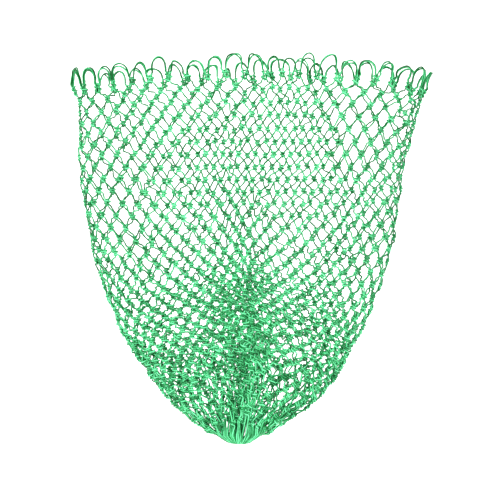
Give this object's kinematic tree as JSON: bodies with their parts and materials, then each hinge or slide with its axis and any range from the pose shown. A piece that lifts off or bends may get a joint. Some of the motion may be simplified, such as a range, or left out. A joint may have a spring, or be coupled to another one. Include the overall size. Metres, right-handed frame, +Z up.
{
  "type": "landing net bag",
  "caption": "Oval knotted diamond-mesh twine bag for fishing, with loops round its mouth to thread on a hoop and a gathered, tied tail.",
  "frame": {"origin": "centre of the hoop line, level with the crowns of the rim loops, where the hoop that carries the bag passes", "axes": "+Z up, from the tail to the mouth; +X along the width of the mouth; +Y from the front wall to the back wall"},
  "size_m": [0.35, 0.1138, 0.388],
  "materials": {
    "netting": "knotted nylon netting twine, mid green",
    "rim_twine": "doubled nylon twine, mid green",
    "gather_twine": "nylon cord, darker green"
  },
  "bodies": {
    "bag_sides": {"side_netting_left": "netting", "side_netting_right": "netting", "side_loops_left": "rim_twine", "side_loops_right": "rim_twine", "waist_netting_front": "netting", "waist_netting_back": "netting"},
    "front_panel": {"front_netting_left": "netting", "front_netting_right": "netting", "front_loops": "rim_twine"},
    "back_panel": {"back_netting_left": "netting", "back_netting_right": "netting", "back_loops": "rim_twine"},
    "lower_bag": {"lower_netting_front": "netting", "lower_netting_back": "netting"},
    "tail": {"tail_netting_front": "netting", "tail_netting_back": "netting", "tail_bunch": "netting", "tail_nub": "netting", "gather_cord": "gather_twine", "gather_knot": "gather_twine"}
  },
  "joints": [
    {"name": "mouth_front", "type": "hinge", "parent": "bag_sides", "child": "front_panel", "pos_m": [0, -0.0413, -0.25], "axis": [1, 0, 0], "range_deg": [-6, 28]},
    {"name": "mouth_back", "type": "hinge", "parent": "bag_sides", "child": "back_panel", "pos_m": [0, 0.0413, -0.25], "axis": [-1, 0, 0], "range_deg": [-6, 28]},
    {"name": "bag_swing", "type": "hinge", "parent": "bag_sides", "child": "lower_bag", "pos_m": [0, 0, -0.262], "axis": [1, 0, 0], "range_deg": [-20, 20]},
    {"name": "tail_lift", "type": "slide", "parent": "lower_bag", "child": "tail", "axis": [0, 0, 1], "range_m": [0, 0.03]}
  ],
  "couplings": [
    {"joint": "mouth_back", "follows": "mouth_front", "ratio": 1}
  ]
}
